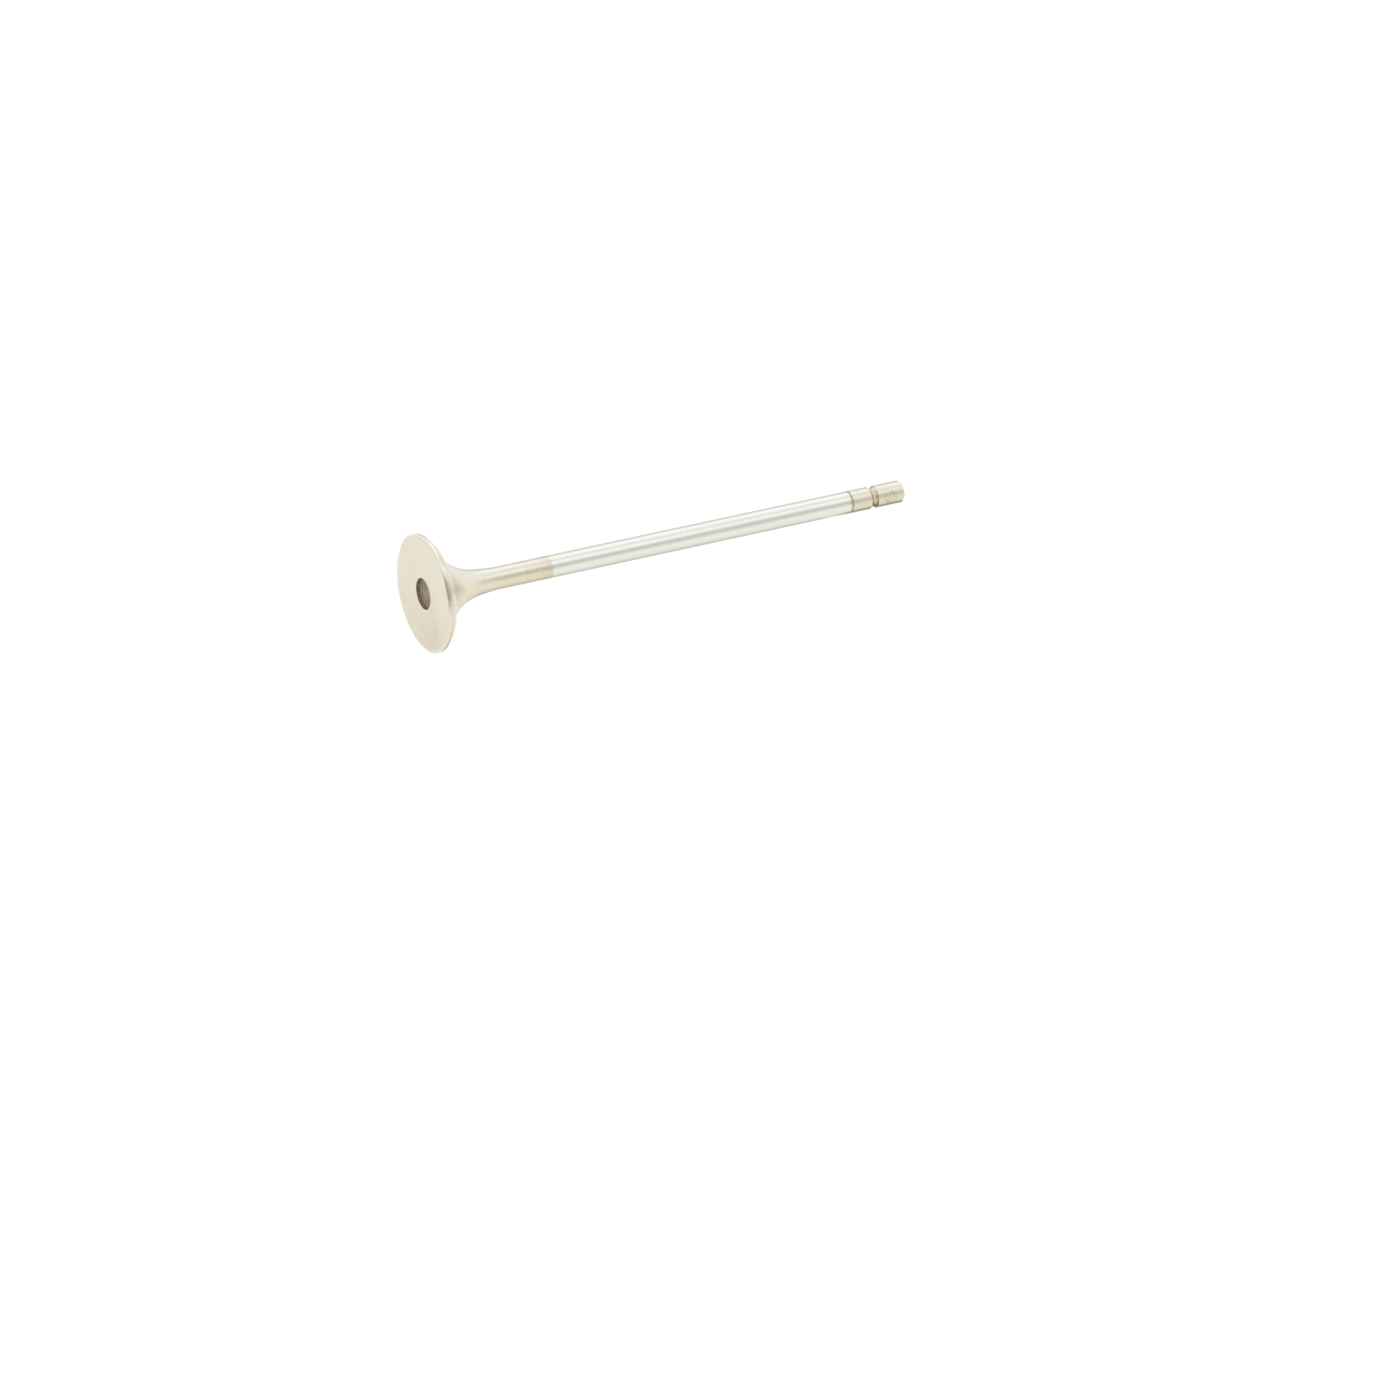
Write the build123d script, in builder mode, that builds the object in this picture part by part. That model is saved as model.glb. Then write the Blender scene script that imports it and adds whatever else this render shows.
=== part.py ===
from build123d import *
import math
import os

# Engine valve: one steel forging, turned and ground. The round head lies face down on the ground
# plane, its trumpet-shaped underside runs up into the neck, and the stem stands along Z with one
# half-round keeper groove near its tip.

# Head
head_diameter = 42.0
rim_bevel_width = 1.05      # bevel round the face, measured across the face
rim_bevel_height = 0.6
margin_height = 1.45        # from the face to the edge where the seat starts
seat_angle = 45.0           # sealing cone, from the plane of the face
seat_width = 2.5            # measured along the cone

# Underside of the head, and neck
underside_angle = 27.0      # cone behind the seat, from the plane of the face
trumpet_radius = 20.0       # large fillet between that cone and the neck
neck_taper = 6.0            # half angle of the neck
neck_height = 27.0          # where the neck's cone meets the stem, before that corner is blended
neck_blend_radius = 60.0    # blend between the neck and the stem

# Forged recess in the middle of the face
recess_diameter = 11.3
recess_depth = 2.0
recess_draft = 12.0
recess_floor_fillet = 0.9
recess_lip_radius = 0.25

# Stem
stem_diameter = 8.0
overall_length = 191.5
tip_chamfer = 0.8

# Fine line turned round the stem where its plated length ends
line_from_tip = 21.7
line_round = 0.27
line_depth = 0.12

# Half-round keeper groove
groove_from_tip = 12.3
groove_round = 1.7
groove_depth = 0.75
groove_edge_radius = 0.12

head_radius = head_diameter / 2
stem_radius = stem_diameter / 2

# The seat's two ends
seat_inner_radius = head_radius - seat_width * math.cos(math.radians(seat_angle))
seat_top = margin_height + seat_width * math.sin(math.radians(seat_angle))

# The corner where the underside's cone and the neck's cone would meet
cone_slope = math.tan(math.radians(underside_angle))
neck_slope = math.tan(math.radians(neck_taper))
neck_run = neck_height - seat_top - cone_slope * seat_inner_radius
corner_radius = (stem_radius + neck_slope * neck_run) / (1 - neck_slope * cone_slope)
corner_height = seat_top + cone_slope * (seat_inner_radius - corner_radius)

cone_length = math.hypot(seat_inner_radius - corner_radius, corner_height - seat_top)
neck_length = math.hypot(corner_radius - stem_radius, neck_height - corner_height)

# The blend takes up to a third of the neck's cone, and the large fillet leaves a little of both cones
blend_half_turn = math.radians(neck_taper) / 2
neck_blend = min(neck_blend_radius, neck_length / 3 / math.tan(blend_half_turn))
free_neck = neck_length - neck_blend * math.tan(blend_half_turn)
half_turn = math.radians(90 - underside_angle - neck_taper) / 2
trumpet_fillet = min(trumpet_radius, 0.95 * min(cone_length, free_neck) / math.tan(half_turn))

# The recess narrows by its draft from lip to floor
recess_radius = recess_diameter / 2
recess_floor_radius = recess_radius - recess_depth * math.tan(math.radians(recess_draft))

os.makedirs("parts", exist_ok=True)

with BuildPart() as valve:
    # Head, neck and stem: a half section spun about the stem's axis
    with BuildSketch(Plane.XZ) as section:
        with BuildLine():
            Polyline(
                (0, 0),
                (head_radius - rim_bevel_width, 0),
                (head_radius, rim_bevel_height),
                (head_radius, margin_height),
                (seat_inner_radius, seat_top),
                (corner_radius, corner_height),
                (stem_radius, neck_height),
                (stem_radius, overall_length),
                (0, overall_length),
                close=True,
            )
        make_face()
        trumpet_corner = section.vertices().sort_by_distance((corner_radius, corner_height))[0]
        fillet(trumpet_corner, radius=trumpet_fillet)
        neck_corner = section.vertices().sort_by_distance((stem_radius, neck_height))[0]
        fillet(neck_corner, radius=neck_blend)
    revolve(axis=Axis.Z)

    # Chamfer at the tip
    chamfer(valve.edges().group_by(Axis.Z)[-1], length=tip_chamfer)

    # Recess in the face, with a rounded floor corner and a rounded lip
    with BuildSketch(Plane.XZ):
        with BuildLine():
            Polyline(
                (0, 0),
                (recess_radius, 0),
                (recess_floor_radius, recess_depth),
                (0, recess_depth),
                close=True,
            )
        pocket = make_face()
        floor_corner = pocket.vertices().sort_by_distance((recess_floor_radius, recess_depth))[0]
        fillet(floor_corner, radius=recess_floor_fillet)
    revolve(axis=Axis.Z, mode=Mode.SUBTRACT)
    lip = valve.edges().group_by(Axis.Z)[0].sort_by(SortBy.RADIUS)[0]
    fillet(lip, radius=recess_lip_radius)

    # Fine line round the stem
    with BuildSketch(Plane.XZ):
        with Locations((stem_radius - line_depth + line_round, overall_length - line_from_tip)):
            Circle(line_round)
    revolve(axis=Axis.Z, mode=Mode.SUBTRACT)

    # Keeper groove, with its two edges broken
    with BuildSketch(Plane.XZ):
        with Locations((stem_radius - groove_depth + groove_round, overall_length - groove_from_tip)):
            Circle(groove_round)
    revolve(axis=Axis.Z, mode=Mode.SUBTRACT)
    groove_edges = valve.edges(Select.LAST).filter_by(GeomType.CIRCLE).sort_by(SortBy.RADIUS)[-2:]
    fillet(groove_edges, radius=groove_edge_radius)

valve.part.label = "valve"
export_step(valve.part, "parts/valve.step")
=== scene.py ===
import math

import bpy
from mathutils import Matrix, Vector


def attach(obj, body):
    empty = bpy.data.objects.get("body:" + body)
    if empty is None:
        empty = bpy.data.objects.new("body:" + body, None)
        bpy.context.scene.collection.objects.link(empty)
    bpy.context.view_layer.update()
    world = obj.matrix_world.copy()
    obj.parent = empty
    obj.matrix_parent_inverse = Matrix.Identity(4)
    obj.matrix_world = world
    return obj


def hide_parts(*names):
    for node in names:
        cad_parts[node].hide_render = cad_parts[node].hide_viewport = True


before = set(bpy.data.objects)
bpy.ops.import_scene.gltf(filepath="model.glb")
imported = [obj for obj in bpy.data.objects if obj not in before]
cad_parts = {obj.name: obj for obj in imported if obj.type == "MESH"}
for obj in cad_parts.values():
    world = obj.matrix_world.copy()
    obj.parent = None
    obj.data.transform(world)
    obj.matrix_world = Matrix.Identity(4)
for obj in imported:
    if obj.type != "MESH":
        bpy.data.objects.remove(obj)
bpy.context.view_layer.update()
scene = bpy.context.scene

MM = 0.001

# Sizes of the valve in millimetres, the same as in the part's source
HEAD_R = 21.0
BEVEL_W, BEVEL_H = 1.05, 0.6
MARGIN_H = 1.45
SEAT_ANGLE, SEAT_W = 45.0, 2.5
UNDER_ANGLE, TRUMPET_R = 27.0, 20.0
NECK_TAPER, NECK_H, NECK_BLEND = 6.0, 27.0, 60.0
RECESS_R, RECESS_D, RECESS_DRAFT = 5.65, 2.0, 12.0
FLOOR_FILLET, LIP_R = 0.9, 0.25
STEM_R, LENGTH, TIP_CHAMFER = 4.0, 191.5, 0.8
LINE_Z, LINE_R, LINE_D = 169.8, 0.27, 0.12
GROOVE_Z, GROOVE_R, GROOVE_D, GROOVE_EDGE = 179.2, 1.7, 0.75, 0.12
PLATE_Z, PLATE_END = 48.8, 168.7
DARK_PATCH_AT = (1.2, -11.0, 7.5)
SCUFF_AT = (1.7, -3.6, 185.3)

TURNS = 288

# The six finishes of the valve, in the order of its material slots
SCALE, FACE, GROUND, BARE, PLATED, TIP = range(6)


# The section is a list of spans. A span is a finish and its points (r, z, normal r, normal z), and
# the metal lies on its left.
def line(a, b, zone, steps=1):
    dr, dz = b[0] - a[0], b[1] - a[1]
    n = math.hypot(dr, dz)
    pts = [(a[0] + dr * i / steps, a[1] + dz * i / steps, dz / n, -dr / n) for i in range(steps + 1)]
    return zone, pts


def arc(centre, radius, start, end, zone, steps, hollow=False):
    sign = -1.0 if hollow else 1.0
    pts = []
    for i in range(steps + 1):
        t = math.radians(start + (end - start) * i / steps)
        c, s = math.cos(t), math.sin(t)
        pts.append((centre[0] + radius * c, centre[1] + radius * s, sign * c, sign * s))
    return zone, pts


def section():
    spans = []
    draft = math.radians(RECESS_DRAFT)
    cd, sd = math.cos(draft), math.sin(draft)

    # Recess floor, its rounded corner, its wall and the lip
    wall_z = RECESS_D - FLOOR_FILLET + FLOOR_FILLET * sd
    wall_r = RECESS_R - wall_z * math.tan(draft)
    corner = (wall_r - FLOOR_FILLET * cd, RECESS_D - FLOOR_FILLET)
    lip_z = LIP_R - LIP_R * sd
    lip_wall_r = RECESS_R - lip_z * math.tan(draft)
    lip = (lip_wall_r + LIP_R * cd, LIP_R)
    spans.append(line((0, RECESS_D), (corner[0], RECESS_D), SCALE, 8))
    spans.append(arc(corner, FLOOR_FILLET, 90, RECESS_DRAFT, SCALE, 8, hollow=True))
    spans.append(line((wall_r, wall_z), (lip_wall_r, lip_z), SCALE, 2))
    spans.append(arc(lip, LIP_R, 180 + RECESS_DRAFT, 270, FACE, 6))

    # Face, bevel, margin and seat
    seat = math.radians(SEAT_ANGLE)
    seat_r = HEAD_R - SEAT_W * math.cos(seat)
    seat_z = MARGIN_H + SEAT_W * math.sin(seat)
    spans.append(line((lip[0], 0), (HEAD_R - BEVEL_W, 0), FACE, 16))
    spans.append(line((HEAD_R - BEVEL_W, 0), (HEAD_R, BEVEL_H), GROUND))
    spans.append(line((HEAD_R, BEVEL_H), (HEAD_R, MARGIN_H), GROUND))
    spans.append(line((HEAD_R, MARGIN_H), (seat_r, seat_z), GROUND, 2))

    # Underside cone, the large fillet and the neck
    a, b = math.radians(UNDER_ANGLE), math.radians(NECK_TAPER)
    slope, thin = math.tan(a), math.tan(b)
    corner_r = (STEM_R + thin * (NECK_H - seat_z - slope * seat_r)) / (1 - thin * slope)
    corner_z = seat_z + slope * (seat_r - corner_r)
    reach = TRUMPET_R * math.tan((math.pi / 2 - a - b) / 2)
    low = (corner_r + reach * math.cos(a), corner_z - reach * math.sin(a))
    high = (corner_r - reach * math.sin(b), corner_z + reach * math.cos(b))
    middle = (low[0] + TRUMPET_R * math.sin(a), low[1] + TRUMPET_R * math.cos(a))
    spans.append(line((seat_r, seat_z), low, BARE, 3))
    spans.append(arc(middle, TRUMPET_R, 270 - UNDER_ANGLE, 180 + NECK_TAPER, BARE, 56, hollow=True))

    # The neck blends into the stem
    reach = NECK_BLEND * math.tan(b / 2)
    foot = (STEM_R + reach * math.sin(b), NECK_H - reach * math.cos(b))
    spans.append(line(high, foot, BARE, 2))
    blend_c = (STEM_R + NECK_BLEND, NECK_H + reach)
    spans.append(arc(blend_c, NECK_BLEND, 180 + NECK_TAPER, 180, BARE, 12, hollow=True))
    spans.append(line((STEM_R, NECK_H + reach), (STEM_R, PLATE_Z), BARE, 6))

    # Plated stem and the fine line at its end
    line_c = (STEM_R - LINE_D + LINE_R, LINE_Z)
    half = math.sqrt(LINE_R ** 2 - (LINE_R - LINE_D) ** 2)
    turn = math.degrees(math.atan2(half, LINE_R - LINE_D))
    spans.append(line((STEM_R, PLATE_Z), (STEM_R, PLATE_END), PLATED, 30))
    spans.append(line((STEM_R, PLATE_END), (STEM_R, LINE_Z - half), TIP))
    spans.append(arc(line_c, LINE_R, 180 + turn, 180 - turn, TIP, 8, hollow=True))

    # Keeper groove, with its edges broken, and the tip
    groove_c = (STEM_R - GROOVE_D + GROOVE_R, GROOVE_Z)
    edge_r = STEM_R - GROOVE_EDGE
    edge_h = math.sqrt((GROOVE_R + GROOVE_EDGE) ** 2 - (groove_c[0] - edge_r) ** 2)
    turn = math.degrees(math.atan2(edge_h, groove_c[0] - edge_r))
    spans.append(line((STEM_R, LINE_Z + half), (STEM_R, GROOVE_Z - edge_h), TIP, 4))
    spans.append(arc((edge_r, GROOVE_Z - edge_h), GROOVE_EDGE, 0, turn, TIP, 4))
    spans.append(arc(groove_c, GROOVE_R, 180 + turn, 180 - turn, TIP, 20, hollow=True))
    spans.append(arc((edge_r, GROOVE_Z + edge_h), GROOVE_EDGE, -turn, 0, TIP, 4))
    spans.append(line((STEM_R, GROOVE_Z + edge_h), (STEM_R, LENGTH - TIP_CHAMFER), TIP, 5))
    spans.append(line((STEM_R, LENGTH - TIP_CHAMFER), (STEM_R - TIP_CHAMFER, LENGTH), TIP))
    spans.append(line((STEM_R - TIP_CHAMFER, LENGTH), (0, LENGTH), TIP, 3))
    return spans


def lathe(name, spans):
    """Spins the section round Z into one closed mesh, with the section's own normals on its faces."""
    spin = [(math.cos(2 * math.pi * k / TURNS), math.sin(2 * math.pi * k / TURNS)) for k in range(TURNS)]
    verts, faces, zones, normals = [], [], [], []

    def ring(r, z):
        start = len(verts)
        if r < 1e-6:
            verts.append((0.0, 0.0, z * MM))
            return [start] * TURNS
        verts.extend((r * MM * c, r * MM * s, z * MM) for c, s in spin)
        return list(range(start, start + TURNS))

    below = None
    for zone, pts in spans:
        if below is None:
            below = ring(pts[0][0], pts[0][1])
        for p, q in zip(pts, pts[1:]):
            above = ring(q[0], q[1])
            for k in range(TURNS):
                m = (k + 1) % TURNS
                corners = [(below[k], p, k), (below[m], p, m), (above[m], q, m), (above[k], q, k)]
                used, kept = set(), []
                for c in corners:
                    if c[0] not in used:
                        used.add(c[0])
                        kept.append(c)
                faces.append([c[0] for c in kept])
                zones.append(zone)
                normals.extend((c[1][2] * spin[c[2]][0], c[1][2] * spin[c[2]][1], c[1][3]) for c in kept)
            below = above

    mesh = bpy.data.meshes.new(name)
    mesh.from_pydata(verts, [], faces)
    mesh.polygons.foreach_set("material_index", zones)
    mesh.polygons.foreach_set("use_smooth", [True] * len(faces))
    mesh.validate()
    mesh.normals_split_custom_set(normals)
    obj = bpy.data.objects.new(name, mesh)
    scene.collection.objects.link(obj)
    return obj


# Nodes
class Tree:
    """A material's nodes, with short calls for the few kinds that are used here."""

    def __init__(self, name):
        self.mat = bpy.data.materials.new(name)
        self.mat.use_nodes = True
        self.nt = self.mat.node_tree
        self.bsdf = self.nt.nodes["Principled BSDF"]
        coords = self.nt.nodes.new("ShaderNodeTexCoord").outputs["Object"]
        self.pos = self.vmath("SCALE", coords, scale=1000.0)
        parts = self.nt.nodes.new("ShaderNodeSeparateXYZ")
        self.link(self.pos, parts.inputs[0])
        self.x, self.y, self.z = parts.outputs
        flat = self.vmath("MULTIPLY", self.pos, (1.0, 1.0, 0.0))
        self.r = self.vmath("LENGTH", flat)

    def link(self, a, b):
        self.nt.links.new(a, b)

    def put(self, value, socket):
        if isinstance(value, bpy.types.NodeSocket):
            self.link(value, socket)
        else:
            socket.default_value = value

    def vmath(self, op, a, b=None, scale=None):
        n = self.nt.nodes.new("ShaderNodeVectorMath")
        n.operation = op
        self.put(a, n.inputs[0])
        if b is not None:
            self.put(b, n.inputs[1])
        if scale is not None:
            n.inputs["Scale"].default_value = scale
        return n.outputs["Value"] if op == "LENGTH" else n.outputs["Vector"]

    def math(self, op, a, b=None, clamp=False):
        n = self.nt.nodes.new("ShaderNodeMath")
        n.operation = op
        n.use_clamp = clamp
        self.put(a, n.inputs[0])
        if b is not None:
            self.put(b, n.inputs[1])
        return n.outputs[0]

    def noise(self, vector, scale, detail=3.0, rough=0.5):
        n = self.nt.nodes.new("ShaderNodeTexNoise")
        n.inputs["Scale"].default_value = scale
        n.inputs["Detail"].default_value = detail
        n.inputs["Roughness"].default_value = rough
        self.link(vector, n.inputs["Vector"])
        return n.outputs["Fac"]

    def vector(self, x, y, z):
        n = self.nt.nodes.new("ShaderNodeCombineXYZ")
        for value, socket in zip((x, y, z), n.inputs):
            self.put(value, socket)
        return n.outputs[0]

    def band(self, value, a, b, lo=0.0, hi=1.0):
        """Goes smoothly from lo to hi as value goes from a to b."""
        n = self.nt.nodes.new("ShaderNodeMapRange")
        n.interpolation_type = "SMOOTHSTEP"
        for key, v in (("Value", value), ("From Min", a), ("From Max", b), ("To Min", lo), ("To Max", hi)):
            self.put(v, n.inputs[key])
        return n.outputs["Result"]

    def mix(self, fac, a, b):
        n = self.nt.nodes.new("ShaderNodeMix")
        n.data_type = "RGBA"
        self.put(fac, n.inputs[0])
        for value, socket in ((a, n.inputs[6]), (b, n.inputs[7])):
            self.put((*value, 1.0) if isinstance(value, tuple) else value, socket)
        return n.outputs[2]

    def bump(self, height, strength, distance_mm):
        n = self.nt.nodes.new("ShaderNodeBump")
        n.inputs["Strength"].default_value = strength
        n.inputs["Distance"].default_value = distance_mm * MM
        self.link(height, n.inputs["Height"])
        self.link(n.outputs["Normal"], self.bsdf.inputs["Normal"])

    def finish(self, colour, rough, metallic=1.0):
        self.put(colour, self.bsdf.inputs["Base Color"])
        self.put(rough, self.bsdf.inputs["Roughness"])
        self.put(metallic, self.bsdf.inputs["Metallic"])
        return self.mat


def scale_finish():
    """Forging scale in the recess: greenish on the wall, brown on the floor."""
    t = Tree("forging_scale")
    blotch = t.noise(t.pos, 0.45, 4.0, 0.6)
    grain = t.noise(t.pos, 3.2, 4.0, 0.65)
    floor = t.mix(t.band(blotch, 0.35, 0.65), (0.34, 0.255, 0.18), (0.46, 0.38, 0.285))
    floor = t.mix(t.band(grain, 0.58, 0.75, 0.0, 0.5), floor, (0.22, 0.18, 0.12))
    wall = t.mix(t.band(t.x, -2.5, 3.5), (0.19, 0.195, 0.145), (0.27, 0.21, 0.145))
    wall = t.mix(t.band(blotch, 0.5, 0.62, 0.0, 0.6), wall, (0.13, 0.13, 0.09))
    colour = t.mix(t.band(t.z, 1.35, 1.95), wall, floor)
    t.bump(t.math("ADD", t.math("MULTIPLY", blotch, 0.5), t.math("MULTIPLY", grain, 0.5)), 0.5, 0.12)
    return t.finish(colour, 0.62, 0.25)


def face_finish():
    """Satin turned face: faint rings about the axis, soft mottling, painted shade darker toward +X and painted
    light toward the front (-Y), and a bright lip at the recess.
    """
    t = Tree("turned_face")
    turned = t.vector(t.math("MULTIPLY", t.x, 0.02), t.math("MULTIPLY", t.y, 0.02), t.r)
    rings = t.noise(turned, 1.3, 2.0, 0.5)
    fine = t.noise(turned, 9.0, 2.0, 0.6)
    soft = t.noise(t.pos, 0.10, 3.0, 0.55)
    # Painted light: darker toward +X, broken up by the soft noise, and lighter toward the front (-Y)
    painted_shade_spread = t.math("ADD", t.x, t.math("MULTIPLY", soft, 30.0))
    colour = t.mix(t.band(painted_shade_spread, 3.0, 41.0), (0.81, 0.765, 0.64), (0.705, 0.645, 0.505))
    colour = t.mix(t.band(t.y, -3.0, -11.0, 0.0, 0.6), colour, (0.84, 0.79, 0.665))
    colour = t.mix(t.band(rings, 0.35, 0.7, 0.0, 0.35), colour, (0.77, 0.69, 0.56))
    colour = t.mix(t.band(fine, 0.5, 0.8, 0.0, 0.25), colour, (0.68, 0.64, 0.52))
    lip = t.math("MULTIPLY", t.band(t.r, 5.6, 5.8), t.band(t.r, 6.5, 5.9))
    colour = t.mix(t.math("MULTIPLY", lip, 0.6), colour, (0.86, 0.80, 0.67))
    t.bump(t.math("ADD", t.math("MULTIPLY", rings, 0.6), t.math("MULTIPLY", fine, 0.4)), 0.25, 0.02)
    return t.finish(colour, t.band(soft, 0.3, 0.7, 0.34, 0.42))


def ground_finish():
    """Ground bevel, margin and seat, with a painted highlight where the bevel meets the margin on the -X side.
    """
    t = Tree("ground_seat")
    turned = t.vector(t.math("MULTIPLY", t.x, 0.05), t.math("MULTIPLY", t.y, 0.05), t.z)
    fine = t.noise(turned, 9.0, 2.0, 0.6)
    soft = t.noise(t.pos, 0.25, 3.0, 0.55)
    colour = t.mix(t.band(fine, 0.3, 0.7), (0.75, 0.705, 0.57), (0.82, 0.775, 0.645))
    # Painted highlight where the bevel meets the margin, on the -X side
    painted_margin_highlight = t.math("MULTIPLY", t.band(t.z, 0.3, 0.6), t.band(t.z, 1.3, 0.7))
    painted_margin_highlight = t.math("MULTIPLY", painted_margin_highlight, t.band(t.x, -2.0, -7.0, 0.0, 0.8))
    colour = t.mix(painted_margin_highlight, colour, (0.95, 0.93, 0.83))
    t.bump(fine, 0.2, 0.01)
    return t.finish(colour, t.band(soft, 0.3, 0.7, 0.18, 0.26))


def bare_finish():
    """Turned underside and ground neck, painted lighter on the -X side and darker and warmer on the +X side,
    with a soft darker patch on the trumpet and a faint heat tint.
    """
    t = Tree("bare_steel")
    turned = t.vector(t.math("MULTIPLY", t.x, 0.05), t.math("MULTIPLY", t.y, 0.05), t.z)
    rings = t.noise(turned, 2.2, 3.0, 0.6)
    soft = t.noise(t.pos, 0.16, 3.0, 0.55)
    # Painted light by side: lighter on -X, darker and warmer on +X; the ring marks vary the tone on top of it
    side = t.math("DIVIDE", t.x, t.r)
    dull_with_painted_light = t.mix(t.band(side, -0.7, 0.5), (0.84, 0.80, 0.69), (0.785, 0.725, 0.58))
    clean_with_painted_light = t.mix(t.band(side, -0.7, 0.5), (0.88, 0.845, 0.735), (0.83, 0.77, 0.63))
    colour = t.mix(t.band(rings, 0.3, 0.7), dull_with_painted_light, clean_with_painted_light)
    colour = t.mix(t.band(soft, 0.5, 0.8, 0.0, 0.3), colour, (0.74, 0.685, 0.54))
    # A soft darker patch on the front of the trumpet
    away = t.vmath("LENGTH", t.vmath("SUBTRACT", t.pos, DARK_PATCH_AT))
    dark_patch = t.math("MULTIPLY", t.band(t.math("ADD", away, t.math("MULTIPLY", soft, 5.0)), 11.0, 3.0), 0.45)
    colour = t.mix(dark_patch, colour, (0.53, 0.51, 0.40))
    height = t.math("ADD", t.z, soft)
    colour = t.mix(t.band(height, 37.5, 39.5, 0.0, 0.10), colour, (0.66, 0.55, 0.42))
    colour = t.mix(t.band(height, 44.0, PLATE_Z - 0.5, 0.0, 0.22), colour, (0.66, 0.50, 0.36))
    t.bump(rings, 0.15, 0.02)
    return t.finish(colour, t.band(t.z, 8.0, 30.0, 0.34, 0.19))


def plated_finish():
    """Ground and plated stem: bright, faintly green, with fine marks round it and along it."""
    t = Tree("plated_stem")
    turned = t.vector(t.math("MULTIPLY", t.x, 0.06), t.math("MULTIPLY", t.y, 0.06), t.z)
    marks = t.noise(turned, 4.0, 3.0, 0.6)
    along = t.noise(t.vector(t.x, t.y, t.math("MULTIPLY", t.z, 0.03)), 0.9, 2.0, 0.5)
    colour = t.mix(t.band(marks, 0.3, 0.7), (0.84, 0.853, 0.785), (0.87, 0.882, 0.82))
    colour = t.mix(t.band(along, 0.4, 0.7, 0.0, 0.4), colour, (0.81, 0.825, 0.755))
    t.bump(marks, 0.12, 0.01)
    return t.finish(colour, t.band(along, 0.3, 0.7, 0.13, 0.19))


def tip_finish():
    """Hardened bare end: warm and ground, painted lighter on the -X side and darker on the +X side, with grime
    in the fine line, a worn groove with painted shade in it, and scuffs.
    """
    t = Tree("hardened_tip")
    turned = t.vector(t.math("MULTIPLY", t.x, 0.06), t.math("MULTIPLY", t.y, 0.06), t.z)
    marks = t.noise(turned, 3.0, 3.0, 0.6)
    soft = t.noise(t.pos, 0.5, 3.0, 0.55)
    # Painted light by side: lighter on -X, darker on +X
    side = t.band(t.x, -2.8, 1.0)
    dull_with_painted_light = t.mix(side, (0.82, 0.795, 0.665), (0.76, 0.705, 0.565))
    clean_with_painted_light = t.mix(side, (0.87, 0.845, 0.715), (0.81, 0.76, 0.62))
    colour = t.mix(t.band(marks, 0.3, 0.7), dull_with_painted_light, clean_with_painted_light)
    colour = t.mix(t.band(soft, 0.5, 0.75, 0.0, 0.35), colour, (0.71, 0.65, 0.51))

    # Worn and scuffed metal between the groove and the tip
    specks = t.noise(t.pos, 2.4, 2.0, 0.5)
    near = t.vmath("LENGTH", t.vmath("SUBTRACT", t.pos, SCUFF_AT))
    scuff = t.math("MULTIPLY", t.band(specks, 0.53, 0.61), t.band(near, 3.6, 2.2, 0.0, 0.8))
    colour = t.mix(scuff, colour, (0.38, 0.34, 0.23))

    # Groove darker and yellower, with painted shade at its foot, at its rim toward the tip on the -X side and
    # along the underside of the laid-down stem
    sunk = t.band(t.r, 3.97, 3.80)
    height = t.math("ABSOLUTE", t.math("SUBTRACT", t.z, GROOVE_Z))
    in_groove = t.math("MULTIPLY", sunk, t.band(height, 2.4, 2.0))
    colour = t.mix(t.math("MULTIPLY", in_groove, 0.5), colour, (0.54, 0.46, 0.28))
    # Painted shade in the groove: at its foot, at its rim toward the tip on the -X side, and along the stem's +X
    # underside
    foot_edge = t.band(t.z, GROOVE_Z - 0.6, GROOVE_Z - 1.0, 0.0, 0.4)
    tip_edge = t.math("MULTIPLY", t.band(t.z, GROOVE_Z + 0.4, GROOVE_Z + 1.0, 0.0, 0.5), t.band(t.x, -3.0, -0.5))
    underside = t.band(t.x, 1.2, 3.2, 0.0, 0.6)
    groove_shade = t.math("ADD", t.math("ADD", foot_edge, tip_edge), underside, True)
    colour = t.mix(t.math("MULTIPLY", in_groove, groove_shade), colour, (0.24, 0.20, 0.12))

    # Dirt in the fine line, and smeared a little to both sides of it
    off = t.math("ABSOLUTE", t.math("SUBTRACT", t.z, LINE_Z))
    colour = t.mix(t.band(off, 0.75, 0.25, 0.0, 0.35), colour, (0.42, 0.39, 0.30))
    in_line = t.math("MULTIPLY", t.band(t.r, 3.995, 3.95), t.band(off, 2.0, 1.0))
    colour = t.mix(t.math("MULTIPLY", in_line, 0.7), colour, (0.24, 0.22, 0.16))
    t.bump(marks, 0.15, 0.015)
    return t.finish(colour, t.band(soft, 0.3, 0.7, 0.18, 0.28))


valve = lathe("valve_turned", section())
for finish in (scale_finish, face_finish, ground_finish, bare_finish, plated_finish, tip_finish):
    valve.data.materials.append(finish())
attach(valve, "root")
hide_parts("valve")


# Floor: pale, and seen from above only, so that the camera below it sees the valve's face. Its
# middle, under the head, is there for the camera alone, and light reaches the face through it. Far
# out it fades into the background.
FLOOR_Z = -0.0004
FLOOR_R, MIDDLE_R = 3.0, 0.026
FADE_FROM, FADE_TO = 1.3, 2.9


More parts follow.
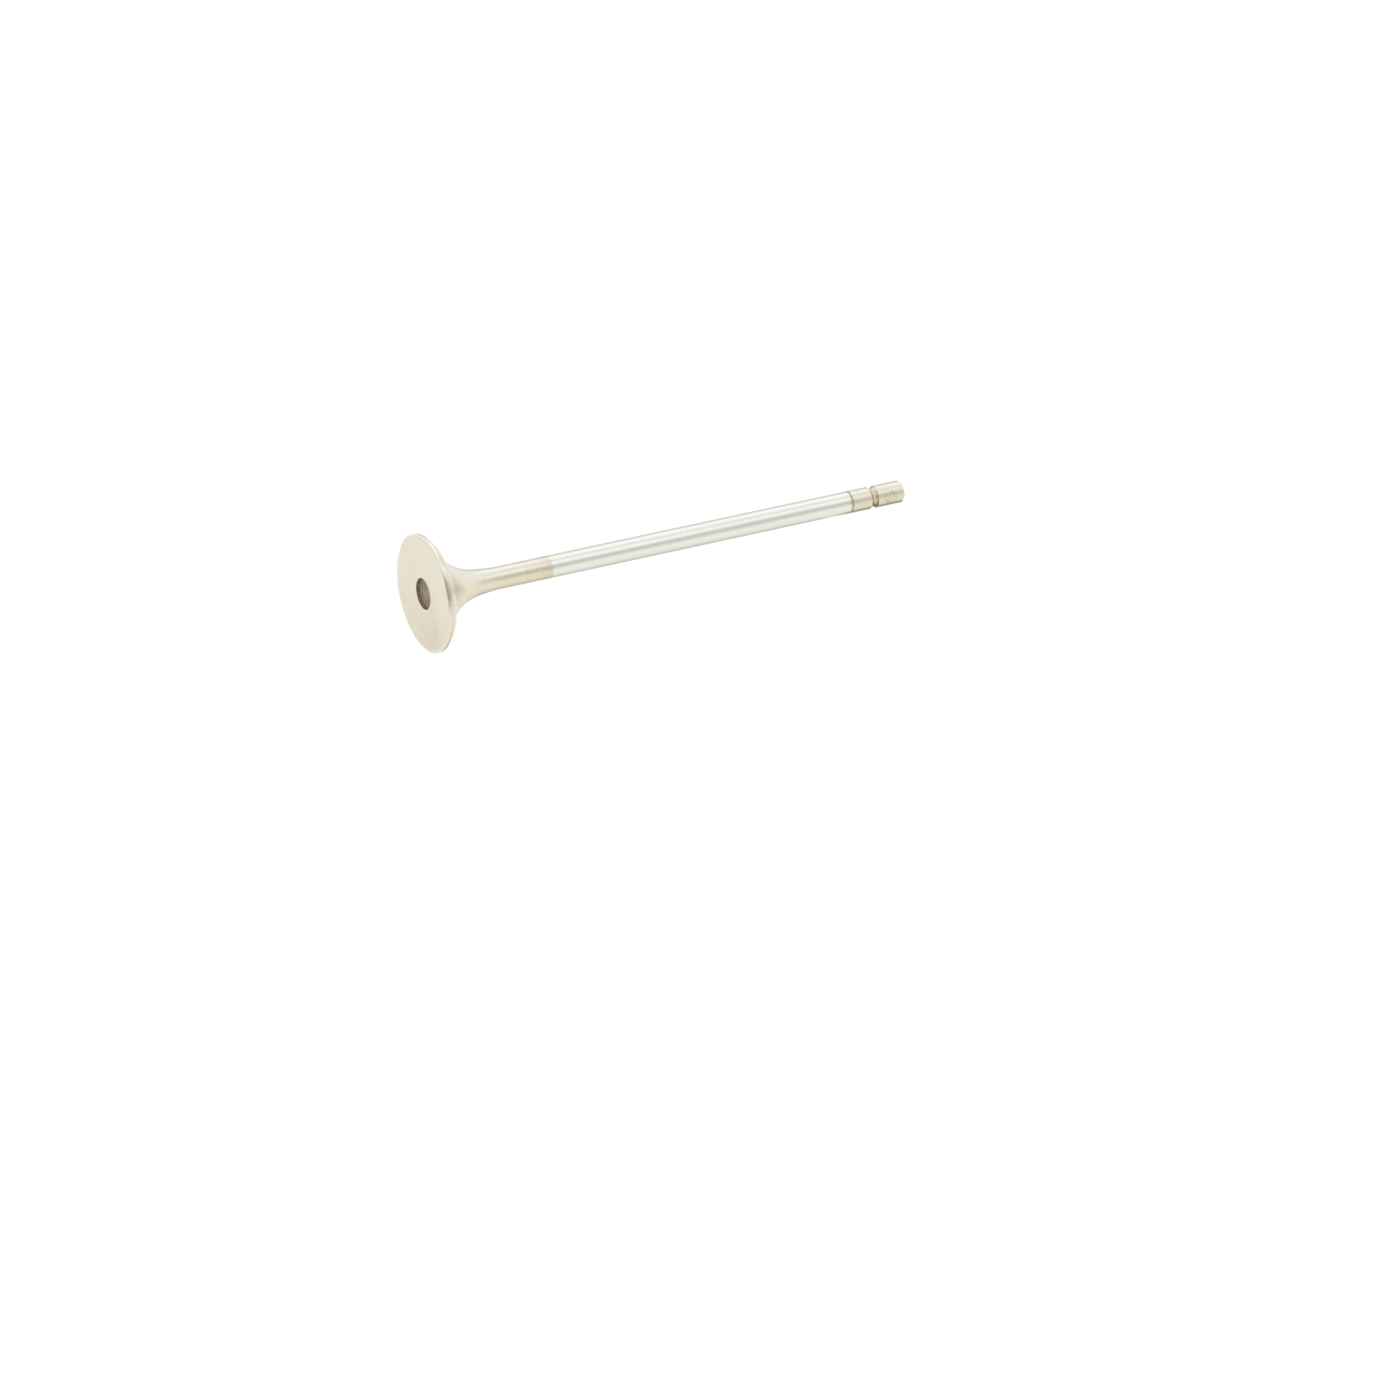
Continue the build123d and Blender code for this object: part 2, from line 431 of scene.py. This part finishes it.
def plain(name, colour, rough=0.9):
    mat = bpy.data.materials.new(name)
    mat.use_nodes = True
    nt = mat.node_tree
    bsdf = nt.nodes["Principled BSDF"]
    bsdf.inputs["Base Color"].default_value = (*colour, 1.0)
    bsdf.inputs["Roughness"].default_value = rough
    bsdf.inputs["Specular IOR Level"].default_value = 0.0
    out = nt.nodes["Material Output"]
    side = nt.nodes.new("ShaderNodeNewGeometry")
    place = nt.nodes.new("ShaderNodeTexCoord")
    far = nt.nodes.new("ShaderNodeVectorMath")
    far.operation = "LENGTH"
    fade = nt.nodes.new("ShaderNodeMapRange")
    fade.interpolation_type = "SMOOTHSTEP"
    fade.inputs["From Min"].default_value = FADE_FROM
    fade.inputs["From Max"].default_value = FADE_TO
    gone = nt.nodes.new("ShaderNodeMath")
    gone.operation = "MAXIMUM"
    clear = nt.nodes.new("ShaderNodeBsdfTransparent")
    mix = nt.nodes.new("ShaderNodeMixShader")
    nt.links.new(place.outputs["Object"], far.inputs[0])
    nt.links.new(far.outputs["Value"], fade.inputs["Value"])
    nt.links.new(side.outputs["Backfacing"], gone.inputs[0])
    nt.links.new(fade.outputs["Result"], gone.inputs[1])
    nt.links.new(gone.outputs[0], mix.inputs[0])
    nt.links.new(bsdf.outputs[0], mix.inputs[1])
    nt.links.new(clear.outputs[0], mix.inputs[2])
    nt.links.new(mix.outputs[0], out.inputs["Surface"])
    return mat


def washer(name, inner, outer, z, mat, steps=96):
    verts, faces = [], []
    for k in range(steps):
        a = 2 * math.pi * k / steps
        verts.append((inner * math.cos(a), inner * math.sin(a), z))
        verts.append((outer * math.cos(a), outer * math.sin(a), z))
    for k in range(steps):
        m = (k + 1) % steps
        faces.append((2 * k, 2 * k + 1, 2 * m + 1, 2 * m))
    mesh = bpy.data.meshes.new(name)
    mesh.from_pydata(verts, [], faces)
    obj = bpy.data.objects.new(name, mesh)
    obj.data.materials.append(mat)
    scene.collection.objects.link(obj)
    return obj


floor_paint = plain("floor_paint", (0.9, 0.9, 0.895))
washer("floor", MIDDLE_R, FLOOR_R, FLOOR_Z, floor_paint)
middle = washer("floor_middle", 0.0, MIDDLE_R, FLOOR_Z, floor_paint)
for flag in ("visible_diffuse", "visible_glossy", "visible_transmission", "visible_shadow"):
    setattr(middle, flag, False)


# Reflections: a wall of light round the valve and an apron on the floor, which only its gloss sees. A
# stop is a bearing from the front (-Y), in degrees, and the level there. A row is a distance from the
# axis, a height and how strong the stops are there: higher up, the levels draw together.
CALM = 0.96
WALL_R = 3.0
ROWS = ((0.03, 0.0, 1.15), (0.5, 0.0, 1.15), (WALL_R, 0.0, 1.0), (WALL_R, 2.05, 1.0), (WALL_R, 2.4, 0.45),
        (WALL_R, 2.9, 0.15), (WALL_R, 4.8, 0.0))
LEFT_STOPS = ((0, 0.67), (10, 0.84), (20, 0.98), (31, 1.12), (43, 1.0), (54, 0.87), (66, 0.95), (79, 1.08),
              (93, 1.18), (110, 1.0), (131, 0.74), (150, 0.62), (165, 0.85), (180, 0.97))
RIGHT_STOPS = ((0, 0.67), (-8, 0.63), (-21, 0.71), (-31, 0.84), (-43, 0.93), (-54, 0.97), (-66, 0.95),
               (-93, 0.91), (-110, 0.78), (-131, 0.62), (-150, 0.60), (-165, 0.85), (-180, 0.97))


def gloss_only(name, verts, faces, levels, colour):
    mesh = bpy.data.meshes.new(name)
    mesh.from_pydata(verts, [], faces)
    mesh.attributes.new("level", "FLOAT", "POINT").data.foreach_set("value", levels)
    mat = bpy.data.materials.new(name)
    mat.use_nodes = True
    nt = mat.node_tree
    nt.nodes.remove(nt.nodes["Principled BSDF"])
    glow = nt.nodes.new("ShaderNodeEmission")
    glow.inputs["Color"].default_value = (*colour, 1.0)
    level = nt.nodes.new("ShaderNodeAttribute")
    level.attribute_name = "level"
    nt.links.new(level.outputs["Fac"], glow.inputs["Strength"])
    nt.links.new(glow.outputs[0], nt.nodes["Material Output"].inputs["Surface"])
    obj = bpy.data.objects.new(name, mesh)
    obj.data.materials.append(mat)
    scene.collection.objects.link(obj)
    for flag in ("visible_camera", "visible_diffuse", "visible_transmission", "visible_shadow"):
        setattr(obj, flag, False)
    return obj


def on_wall(bearing, radius, z):
    a = math.radians(-90 - bearing)
    return (radius * math.cos(a), radius * math.sin(a), z)


def wall(name, stops, rows, colour, step=2.5):
    verts, levels, faces = [], [], []
    columns = [stops[0]]
    for (b0, v0), (b1, v1) in zip(stops, stops[1:]):
        n = max(1, round(abs(b1 - b0) / step))
        columns += [(b0 + (b1 - b0) * i / n, v0 + (v1 - v0) * i / n) for i in range(1, n + 1)]
    for bearing, value in columns:
        for radius, z, contrast in rows:
            verts.append(on_wall(bearing, radius, z))
            levels.append(CALM + (value - CALM) * contrast)
    n = len(rows)
    for k in range(len(columns) - 1):
        for j in range(n - 1):
            faces.append((n * k + j, n * k + n + j, n * k + n + j + 1, n * k + j + 1))
    return gloss_only(name, verts, faces, levels, colour)


wall("wall_left", LEFT_STOPS, ROWS, (0.988, 1.0, 1.01))
wall("wall_right", RIGHT_STOPS, ROWS, (1.01, 1.0, 0.965))
wall("shade_by_tip", ((-92, CALM), (-114, 0.4), (-150, 0.35), (-172, CALM)),
     ((0.05, 0.185, 0.0), (0.05, 0.195, 1.0), (0.05, 0.26, 1.0), (0.05, 0.28, 0.0)), (1.0, 0.98, 0.92))

# A dark disc far below, which the bevel's near side reflects
SHADE_AT, SHADE_R, SHADE_Z, SHADE_LEVEL = 0.05, 0.23, -1.0, 0.40
turn = [math.radians(a) for a in range(0, 360, 10)]
disc = [(SHADE_AT + SHADE_R * math.cos(a), SHADE_AT + SHADE_R * math.sin(a), SHADE_Z) for a in turn]
gloss_only("shade_below", disc, [tuple(range(len(disc)))], [SHADE_LEVEL] * len(disc), (1.0, 1.0, 0.96))


# World: white where the camera, gloss and glass look, and a plain level elsewhere
world = bpy.data.worlds.new("studio")
scene.world = world
world.use_nodes = True
wt = world.node_tree
back = wt.nodes["Background"]
back.inputs["Color"].default_value = (1.0, 1.0, 1.0, 1.0)
rays = wt.nodes.new("ShaderNodeLightPath")
seen = wt.nodes.new("ShaderNodeMath")
seen.operation = "MAXIMUM"
wt.links.new(rays.outputs["Is Camera Ray"], seen.inputs[0])
wt.links.new(rays.outputs["Is Glossy Ray"], seen.inputs[1])
seen_all = wt.nodes.new("ShaderNodeMath")
seen_all.operation = "MAXIMUM"
wt.links.new(seen.outputs[0], seen_all.inputs[0])
wt.links.new(rays.outputs["Is Transmission Ray"], seen_all.inputs[1])
level = wt.nodes.new("ShaderNodeMapRange")
wt.links.new(seen_all.outputs[0], level.inputs["Value"])
level.inputs["To Min"].default_value = 0.85
level.inputs["To Max"].default_value = 1.0
wt.links.new(level.outputs["Result"], back.inputs["Strength"])
world.cycles.sampling_method = "NONE"

# One large soft lamp above, from the front left
lamp_data = bpy.data.lights.new("soft_key", "AREA")
lamp_data.shape = "DISK"
lamp_data.size = 1.2
lamp_data.energy = 6.0
lamp = bpy.data.objects.new("soft_key", lamp_data)
scene.collection.objects.link(lamp)
lamp.location = (-0.9, -0.7, 1.5)
lamp.rotation_euler = (Vector((0, 0, 0.08)) - lamp.location).to_track_quat("-Z", "Y").to_euler()
lamp.visible_glossy = False

# Camera: the photograph's viewing angle, below the face and rolled until the stem runs to the right
cam_data = bpy.data.cameras.new("camera")
cam_data.sensor_width = 36.0
cam_data.lens = 152.897
cam_data.clip_end = 50.0
cam = bpy.data.objects.new("camera", cam_data)
scene.collection.objects.link(cam)
cam.location = (0.0, -1.87894, -0.82994)
cam.rotation_euler = tuple(math.radians(a) for a in (155.51701, -60.96505, -64.22866))
scene.camera = cam

scene.view_settings.view_transform = "Standard"
